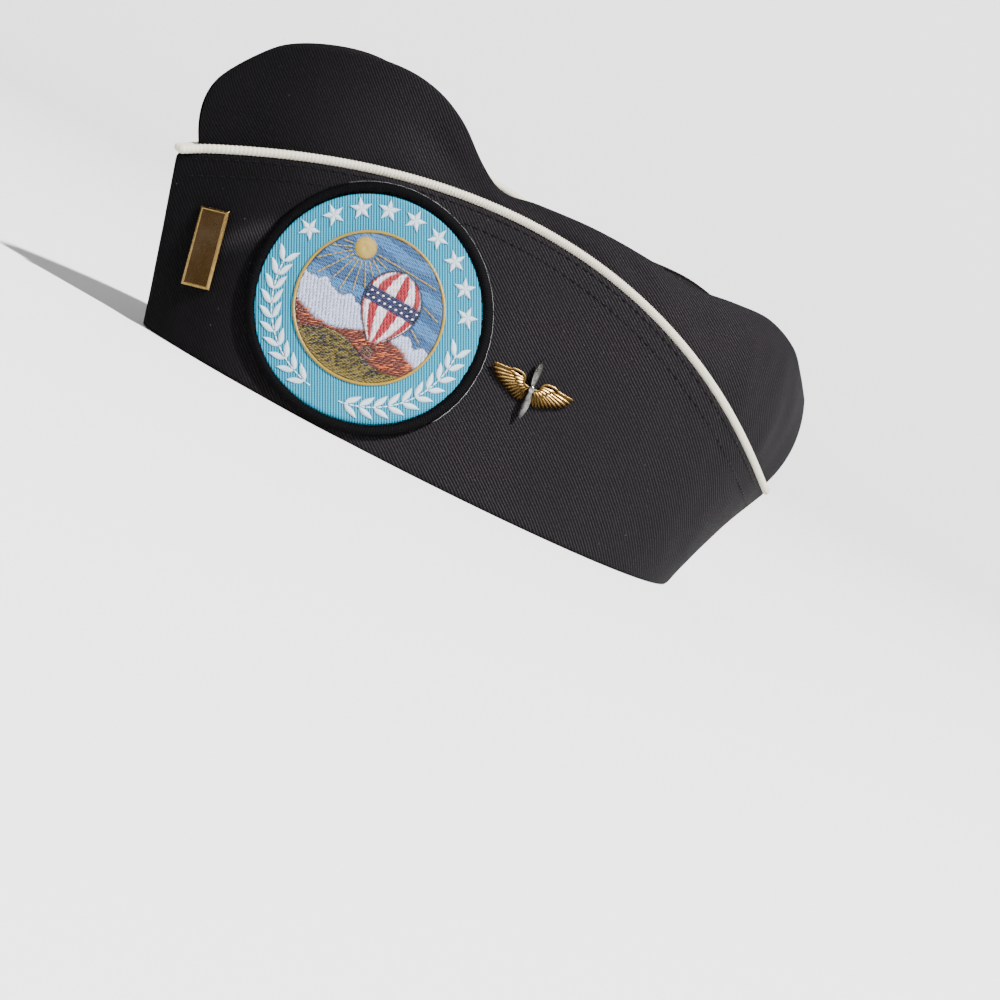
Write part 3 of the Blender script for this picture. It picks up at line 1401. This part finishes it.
band = BALLOON["wide"] * 0.86
for spot in np.linspace(-band, band, DOTS["columns"]):
    for rise in DOTS["rises"]:
        aside = spot + DOTS["shift"] * (rise > 0)
        if abs(aside) < BALLOON["wide"] - DOTS["margin"]:
            dot = np.array([BALLOON["x"] + aside, BAND["middle"] + rise])
            picture.line(dot - (0.35, 0.2), dot + (0.35, 0.2), 1.0, *DOT)

# %% Dark stitches on the hills
def scattered(low, high, count, region):
    """Random places of a box that fall inside one region of the picture."""
    places = chance.uniform(low, high, (count, 2))
    return places[(region_of(*places.T) == region) & (np.hypot(*places.T) < INNER - 1)]


for tuft in scattered((-19, -21), (19, -12.5), 420, OLIVE)[:190]:
    lean = chance.uniform(-0.5, 0.5)
    picture.line(tuft, tuft + (1.1 + lean, 0.9), 1.6, *TUFT)
for fleck in scattered((-21, -15), (21, -6), 260, RUST)[:60]:
    picture.line(fleck, fleck + (1.5, 1.0), 2.0, *FLECK)

# %% The picture as one piece
BACKING = {"radius": 22.9, "turn": 0.85, "top": 1.68, "bottom": 1.45, "columns": 120, "rows": 60,
           "tone": 0.6}


def backing_place(u, v):
    """Angle and distance from the middle. v runs out over the top, and then back underneath."""
    return 2 * math.pi * u, BACKING["radius"] * there_and_back(v, BACKING["turn"])


def backing_point(u, v):
    lift = np.where(v < BACKING["turn"], BACKING["top"], BACKING["bottom"])
    return patch_seat.lifted_round(*backing_place(u, v), lift)


stitched = picture.mesh("patch_picture_stitches", patch_seat, height=0.4, painted=True)
backing = shaped_grid("patch_picture_backing", BACKING["columns"], BACKING["rows"], backing_point)
marks = [np.arange(BACKING[name] + 1) / BACKING[name] for name in ("columns", "rows")]
about, reach = backing_place(*(grid.ravel() for grid in np.meshgrid(*marks)))
regions = region_of(reach * np.cos(about), reach * np.sin(about))
paint(backing.data, np.array([THREADS[region] for region in range(9)])[regions] * BACKING["tone"])
face_out(backing)
select_only(stitched)
backing.select_set(True)
bpy.ops.object.join()
finish_piece(stitched, picture_thread, "picture_thread", "patch_picture")

# %% [markdown]
# ## Metal finishes
#
# The rank bar is polished brass, the wings are gilt, and the propeller is bright nickel silver. Each has a
# patchy tarnish that is darker and rougher, fine scratches, and grime in its grooves. All three use the wear
# group with their own colours. On the wings and the propeller each vertex also carries how high it stands
# above the badge's back, as the attribute "crest", and the low places are darkened by it.

# %% Metal materials
def metal_material(name, bright, dull, roughness, tarnish, scale=420.0, grime=None):
    material, tree, feed, _, place = new_material(name, metallic=1.0)
    wear = use_group(tree, WEAR, Vector=place, Scale=scale)
    metal = mix_color(tree, times(tree, wear["Tarnish"], tarnish), bright, dull)
    if grime:
        metal = mix_color(tree, own_value(tree, "crest"), grime, metal)
    feed("Base Color", metal)
    rough = math_node(tree, "MULTIPLY_ADD", wear["Tarnish"], 0.18, roughness)
    feed("Roughness", math_node(tree, "MULTIPLY_ADD", wear["Scratch"], 0.12, rough))
    height = math_node(tree, "ADD", wear["Scratch"], times(tree, wear["Tarnish"], 0.5))
    feed("Normal", bump(tree, height, 0.015, 0.5))
    return material


brass = metal_material("brass", (0.024, 0.013, 0.0045), (0.05, 0.035, 0.022), roughness=0.14,
                       tarnish=0.4, scale=90.0)
bright_brass = metal_material("bright_brass", (0.21, 0.135, 0.045), (0.09, 0.055, 0.018), roughness=0.16,
                              tarnish=0.6)
gilt = metal_material("gilt", (0.105, 0.063, 0.02), (0.04, 0.022, 0.006), roughness=0.2,
                      tarnish=0.7, grime=(0.006, 0.0025, 0.0005))
silver = metal_material("silver", (0.3, 0.295, 0.29), (0.02, 0.016, 0.013), roughness=0.08,
                        tarnish=1.0, scale=700.0, grime=(0.006, 0.0045, 0.0035))
plain_silver = metal_material("pin_silver", (0.6, 0.59, 0.57), (0.35, 0.33, 0.31), roughness=0.3,
                              tarnish=0.5)

# %% [markdown]
# ## Rank bar
#
# The bar is one stamped strip with a raised, slightly hollow face inside a sloping edge. It is a cube, set
# to its size, whose front face is inset and pushed in a little. A small bevel rounds every edge, and it
# carries the bright line that makes it look like metal.

# %% Modelling helpers for metal
def start_piece(name, add, stretch=(1, 1, 1), **settings):
    """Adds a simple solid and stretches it."""
    bpy.ops.object.select_all(action="DESELECT")
    add(**settings)
    piece = bpy.context.object
    piece.name = piece.data.name = name
    piece.scale = stretch
    bpy.ops.object.transform_apply(location=True, rotation=True, scale=True)
    return piece


def select_faces(piece, chosen):
    """Selects the faces that a test of their middle and normal picks, and stays in edit mode."""
    select_only(piece)
    bpy.ops.object.mode_set(mode="EDIT")
    bpy.ops.mesh.select_mode(type="FACE")
    bpy.ops.mesh.select_all(action="DESELECT")
    bpy.ops.object.mode_set(mode="OBJECT")
    for face in piece.data.polygons:
        face.select = bool(chosen(face.center / MM, face.normal))
    bpy.ops.object.mode_set(mode="EDIT")


def bevel_all(piece, width, segments, angle):
    modifier = piece.modifiers.new("edges", "BEVEL")
    modifier.width = width * MM
    modifier.segments = segments
    modifier.limit_method = "ANGLE"
    modifier.angle_limit = math.radians(angle)
    apply_modifiers(piece)


def seat_piece(piece, frame_matrix):
    """Writes a seat's frame into the mesh, so the object itself stays at the origin."""
    piece.data.transform(frame_matrix)
    piece.data.update()


def mark_crests(piece, low, high):
    """Gives each vertex its height between two levels, from 0 to 1, before the piece is seated."""
    give_value(piece, "crest", np.clip((points_of(piece)[:, 2] / MM - low) / (high - low), 0, 1))


def smooth_by_angle(piece, degrees):
    select_only(piece)
    bpy.ops.object.shade_smooth_by_angle(angle=math.radians(degrees))


# %% Rank bar
BAR = {"width": 9.5, "height": 25.4, "thick": 1.4, "lift": 0.95, "margin": 0.1, "level": 1.0, "drop": 0.75}
INSETS = ((0.7, 0.0), (0.25, -0.16), (0.6, -0.05))

bar = start_piece("rank_bar_brass", bpy.ops.mesh.primitive_cube_add, size=1,
                  stretch=[BAR[name] * MM for name in ("width", "height", "thick")],
                  location=(0, 0, BAR["thick"] * MM / 2))
select_faces(bar, lambda middle, normal: normal.z > 0.9)
for thickness, depth in INSETS:
    bpy.ops.mesh.inset(thickness=thickness * MM, depth=depth * MM)
bpy.ops.object.mode_set(mode="OBJECT")
points = points_of(bar)
limits = np.array([BAR["width"] / 2 - BAR["margin"], BAR["height"] / 2 - BAR["margin"]]) * MM
outer = (np.abs(points[:, :2]) > limits).any(axis=1) & (points[:, 2] > BAR["level"] * MM)
points[outer, 2] -= BAR["drop"] * MM
move_points(bar, points)
bevel_all(bar, width=0.12, segments=3, angle=12)
smooth_by_angle(bar, degrees=25)
slopes = [face.normal.z < 0.97 for face in bar.data.polygons]
seat_piece(bar, bar_seat.frame(BAR["lift"]))
finish_piece(bar, brass, "brass", "rank_bar")
bar.data.materials.append(bright_brass)
bar.data.polygons.foreach_set("material_index", np.array(slopes, dtype=np.int32))

# %% [markdown]
# ## Wings
#
# A wing has a rolled leading edge that ends in a curl beside the hub, a plate of small covert feathers
# behind it, and long flight feathers that fan out below. One feather is modelled: a cylinder with eight
# sides, narrowed at its foot and its tip. It is copied to each place of two short tables, and each copy is
# turned and stretched. The leading edge is a tapered roll along a curve, and the plate is a low pillow.

# %% One feather
def model_feather():
    """A feather one unit long: narrow foot at the origin, rounded tip at x = 1, crest on top."""
    feather = start_piece("feather", bpy.ops.mesh.primitive_cylinder_add, vertices=8, radius=0.5, depth=1,
                          rotation=(0, math.pi / 2, 0), location=(0.5, 0, 0))
    select_faces(feather, lambda middle, normal: abs(normal.x) < 0.5)
    bpy.ops.mesh.subdivide(number_cuts=4)
    bpy.ops.object.mode_set(mode="OBJECT")
    points = points_of(feather)
    width = np.interp(points[:, 0], (0, 0.25, 0.75, 0.93, 1), (0.55, 0.85, 1.0, 0.8, 0.3))
    points[:, 1:] *= width[:, None]
    move_points(feather, points)
    return feather


def feather_copy(feather, foot, tip, width, height, lift):
    """Copies the feather so that it runs from foot to tip in a badge's plane, in millimetres."""
    copy = copy_of(feather)
    foot, tip = Vector((*foot, lift)), Vector((*tip, lift))
    ahead = tip - foot
    turn = Matrix.Rotation(math.atan2(ahead.y, ahead.x), 4, "Z")
    size = Matrix.Diagonal((ahead.length, width, height, 1))
    copy.data.transform(Matrix.Scale(MM, 4) @ Matrix.Translation(foot) @ turn @ size)
    return copy


def join_all(name, pieces):
    select_only(pieces[0])
    for piece in pieces[1:]:
        piece.select_set(True)
    bpy.ops.object.join()
    joined = bpy.context.object
    joined.name = joined.data.name = name
    return joined


# %% Wing tables
# Each feather has the place of its foot and of its tip, (out, up), and its width.
FLIGHT = (
    ((6.0, 2.95), (14.6, 2.45), 1.05),
    ((5.6, 2.35), (14.4, 1.4), 1.0),
    ((5.2, 1.75), (13.4, 0.2), 1.0),
    ((4.8, 1.2), (12.1, -0.8), 0.98),
    ((4.4, 0.7), (10.6, -1.6), 0.96),
    ((4.0, 0.3), (9.2, -2.3), 0.94),
    ((3.5, -0.1), (7.9, -2.95), 0.94),
    ((3.0, -0.4), (6.6, -3.5), 0.92),
    ((2.5, -0.7), (5.3, -4.1), 0.92),
    ((2.0, -0.9), (4.1, -4.55), 0.9),
    ((1.5, -1.1), (2.9, -4.65), 0.88),
    ((1.0, -1.2), (1.9, -4.2), 0.85),
)
COVERTS = (
    ((2.9, 2.2), (8.0, 2.55), 1.15),
    ((2.6, 1.6), (6.9, 1.5), 1.1),
    ((2.3, 1.0), (6.0, 0.45), 1.05),
    ((2.0, 0.5), (5.0, -0.55), 1.0),
    ((1.6, 0.1), (3.9, -1.35), 0.95),
    ((1.1, -0.1), (2.6, -1.8), 0.9),
)
EDGE_LINE = (
    (14.5, 2.85), (11.5, 3.0), (8.4, 3.2), (7.9, 3.75), (5.8, 3.85), (4.2, 3.6),
    (3.15, 2.85), (3.0, 1.95), (3.1, 1.15), (2.4, 0.55), (1.2, 0.35), (0.3, 0.35),
)
UPPER = ((0.2, 0.6), (2.6, 0.8), (3.1, 2.0), (4.4, 3.7), (8.0, 3.6), (13.8, 2.9))
LOWER = ((0.2, -3.1), (2.0, -4.0), (4.2, -4.1), (7.8, -2.6), (11.6, -0.9), (13.8, 1.0))

# %% Leading edge and plate
def along(line, u):
    """The point a share of the way along a line of places, counted in places."""
    return points_along(u, np.linspace(0, 1, len(line)), np.array(line))


def rolled_edge(name):
    """The leading edge: a tapered roll through the edge line's places."""
    middle = along(EDGE_LINE, np.linspace(0, 1, 70))
    for _ in range(6):
        inner = 0.25 * middle[:-2] + 0.5 * middle[1:-1] + 0.25 * middle[2:]
        middle = np.concatenate([middle[:1], inner, middle[-1:]])

    def place(u, v):
        rows, which = np.unique(u, return_inverse=True)
        across = along(middle, rows)
        ahead = unit(np.gradient(across, axis=0))
        angle = 2 * math.pi * v
        size = np.interp(u, (0, 0.02, 0.3, 0.6, 0.97, 1), (0.05, 0.34, 0.4, 0.5, 0.42, 0.05))
        side = np.stack([-ahead[:, 1], ahead[:, 0]], axis=1)[which]
        flat = across[which] + side * (size * np.cos(angle))[:, None]
        return np.column_stack([flat, 1.0 + size * 0.95 * np.sin(angle)])

    return shaped_grid(name, 90, 10, place)


WINGS = {"lift": 0.5, "base": 0.15, "plate": 0.55, "turn": 0.75}


def wing_plate():
    """The pillow that the feathers lie on, from a grid pressed to the wing's outline."""
    def place(u, v):
        over = there_and_back(v, WINGS["turn"])
        low = along(LOWER, u)
        flat = low + (along(UPPER, u) - low) * over[:, None]
        dome = np.sqrt(np.clip(1 - (2 * over - 1) ** 2, 0, 1)) * np.sqrt(np.clip(u * (1 - u) * 12, 0, 1))
        rise = np.where(v <= WINGS["turn"], WINGS["base"] + WINGS["plate"] * dome, 0.0)
        return np.column_stack([flat, rise])

    return shaped_grid("wing_plate", 40, 24, place)


# %% Wings
feather = model_feather()
parts = [wing_plate(), rolled_edge("leading_edge")]
for table, height, lift in ((FLIGHT, 0.8, 0.5), (COVERTS, 0.85, 0.75)):
    parts += [feather_copy(feather, foot, tip, width, height, lift) for foot, tip, width in table]
rear_wing = join_all("rear_wing", parts)
front_wing = copy_of(rear_wing)
front_wing.data.transform(Matrix.Diagonal((-1, 1, 1, 1)))
front_wing.data.flip_normals()
wings = join_all("gilt_wings", [rear_wing, front_wing])
bpy.data.objects.remove(feather)
face_out(wings)
soften(wings)
apply_modifiers(wings)
smooth(wings)
mark_crests(wings, low=0.5, high=1.05)
seat_piece(wings, badge_seat.frame(WINGS["lift"]))
finish_piece(wings, gilt, "gilt", "badge_wings")

# %% [markdown]
# ## Propeller
#
# Two twisted blades stand on a small oval hub. One blade is a cube that is stretched, cut across and shaped:
# its width follows the real blade's outline and its section turns from hub to tip. The second blade is the
# first one turned half way round, so that the pair is balanced.

# %% Propeller
BLADE = np.array(((0.0, 0.62), (1.0, 0.7), (3.0, 1.15), (5.6, 1.34), (8.0, 0.98), (9.4, 0.55), (10.0, 0.16)))
PROPELLER = {"lift": 2.15, "length": 10, "thick": 0.7, "twist": 24.0}


def model_blade():
    blade = start_piece("blade", bpy.ops.mesh.primitive_cube_add, size=1,
                        stretch=(MM, PROPELLER["length"] * MM, PROPELLER["thick"] * MM),
                        location=(0, PROPELLER["length"] / 2 * MM, 0))
    select_faces(blade, lambda middle, normal: True)
    for _ in range(2):
        bpy.ops.mesh.subdivide(number_cuts=3)
    bpy.ops.object.mode_set(mode="OBJECT")
    points = points_of(blade) / MM
    out = points[:, 1]
    half = np.interp(out, BLADE[:, 0], BLADE[:, 1])
    across = points[:, 0] * 2
    points[:, 0] = across * half
    points[:, 2] *= np.sqrt(np.clip(1.05 - across**2, 0.02, 1)) * np.interp(out, (0, 6, 10), (1, 0.8, 0.35))
    twist = np.radians(PROPELLER["twist"] * (1 - out / PROPELLER["length"]))
    x, z = points[:, 0].copy(), points[:, 2].copy()
    points[:, 0], points[:, 2] = x * np.cos(twist) + z * np.sin(twist), z * np.cos(twist) - x * np.sin(twist)
    move_points(blade, points * MM)
    return blade


upper_blade = model_blade()
lower_blade = copy_of(upper_blade)
lower_blade.data.transform(Matrix.Rotation(math.pi, 4, "Z"))
hub = start_piece("hub", bpy.ops.mesh.primitive_uv_sphere_add, segments=20, ring_count=12, radius=0.5,
                  stretch=(2.0 * MM, 3.0 * MM, 1.5 * MM), location=(0, 0, 0.15 * MM))
collar = start_piece("collar", bpy.ops.mesh.primitive_torus_add, major_segments=20, minor_segments=8,
                     major_radius=0.5 * MM, minor_radius=0.16 * MM, location=(0, 0, 0.85 * MM))
propeller = join_all("silver_propeller", [upper_blade, lower_blade, hub, collar])
face_out(propeller)
smooth_by_angle(propeller, degrees=50)
mark_crests(propeller, low=0.05, high=0.36)
seat_piece(propeller, badge_seat.frame(PROPELLER["lift"]))
finish_piece(propeller, silver, "silver", "badge_propeller")

# %% [markdown]
# ## Hidden pins
#
# The two pins behind the badges are plain turned pieces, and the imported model's own solids have their
# shape. They only need their metal.

# %% Pins
for node in ("rank_bar_pin", "badge_pin"):
    pin = bpy.data.objects[node]
    pin.data.materials.clear()
    pin.data.materials.append(plain_silver)
    print(node, "keeps its solid")
